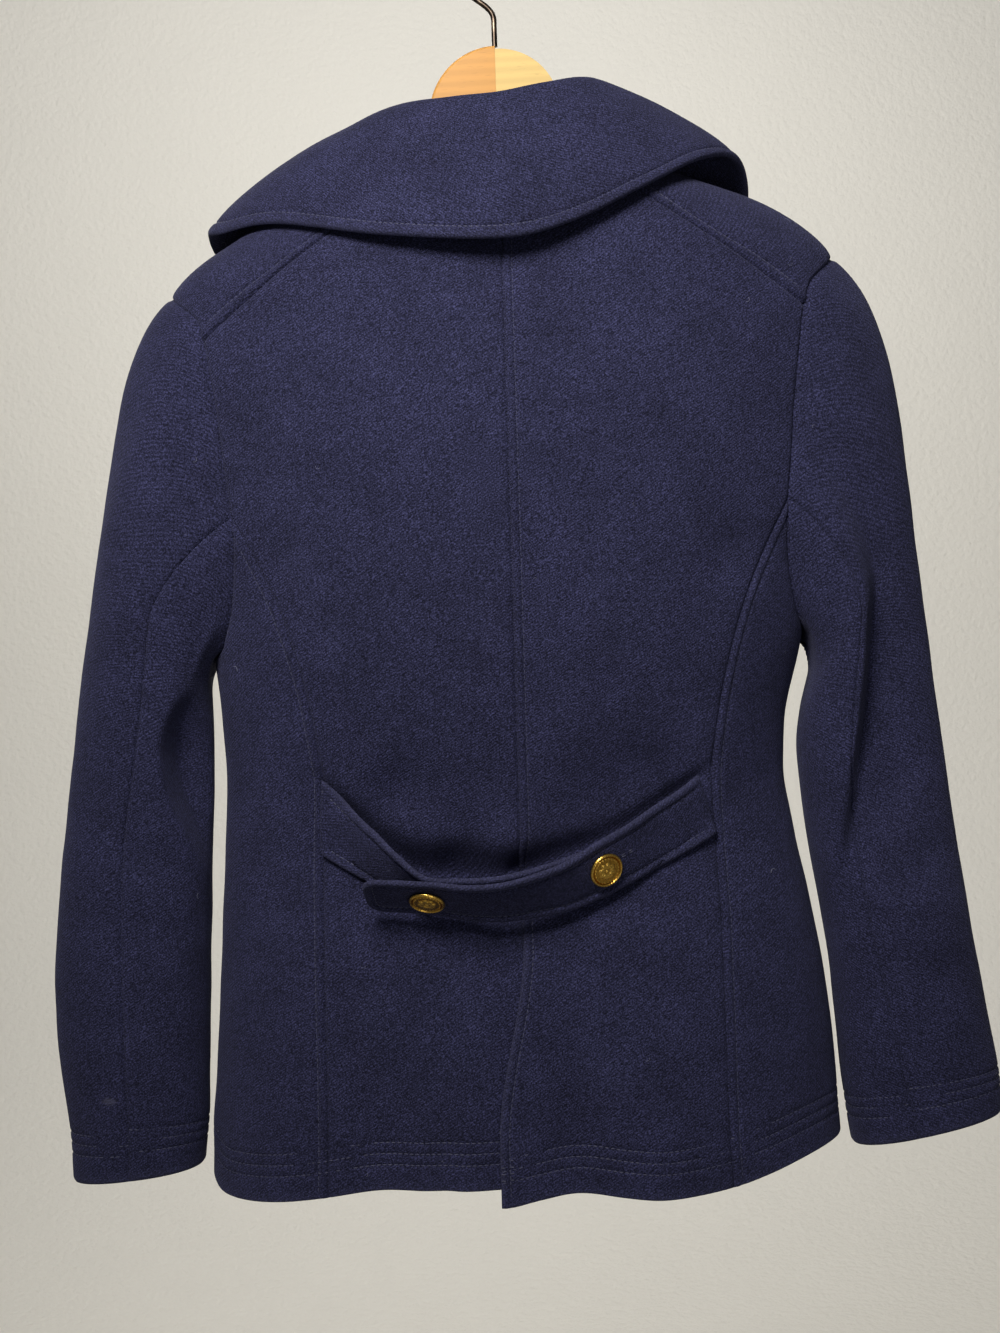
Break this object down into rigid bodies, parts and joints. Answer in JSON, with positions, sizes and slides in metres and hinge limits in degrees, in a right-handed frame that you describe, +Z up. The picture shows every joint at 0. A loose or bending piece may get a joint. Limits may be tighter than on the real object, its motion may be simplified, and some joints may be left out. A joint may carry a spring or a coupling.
{
  "type": "pea coat on wooden hanger",
  "caption": "Short double-breasted wool coat with broad collar, two-piece sleeves, sagging half belt and back vent, hung on a flat wooden hanger.",
  "frame": {"origin": "the point inside the top of the hook's bend, where the hanger rests on a rail or a nail", "axes": "+Z up, +X toward the wearer's right side, -Y toward whoever looks at the coat's back, +Y the way its buttoned front faces"},
  "size_m": [0.6268, 0.2006, 0.8394],
  "materials": {
    "navy_wool": "matt napped melton, navy",
    "gilt_buttons": "bright gilt",
    "hanger_wood_left": "clear varnish",
    "hanger_wood_right": "clear varnish",
    "hook_steel": "darkened wire"
  },
  "bodies": {
    "root": {"back_left": "navy_wool", "back_right": "navy_wool", "side_left": "navy_wool", "side_right": "navy_wool", "front_left": "navy_wool", "front_right": "navy_wool", "lapel_left": "navy_wool", "lapel_right": "navy_wool", "top_sleeve_left": "navy_wool", "top_sleeve_right": "navy_wool", "under_sleeve_left": "navy_wool", "under_sleeve_right": "navy_wool", "belt_left": "navy_wool", "belt_right": "navy_wool", "collar": "navy_wool", "belt_button_left": "gilt_buttons", "belt_button_right": "gilt_buttons", "front_button_left_1": "gilt_buttons", "front_button_left_2": "gilt_buttons", "front_button_left_3": "gilt_buttons", "front_button_right_1": "gilt_buttons", "front_button_right_2": "gilt_buttons", "front_button_right_3": "gilt_buttons", "hanger_left": "hanger_wood_left", "hanger_right": "hanger_wood_right", "hanger_hook": "hook_steel"}
  },
  "joints": []
}
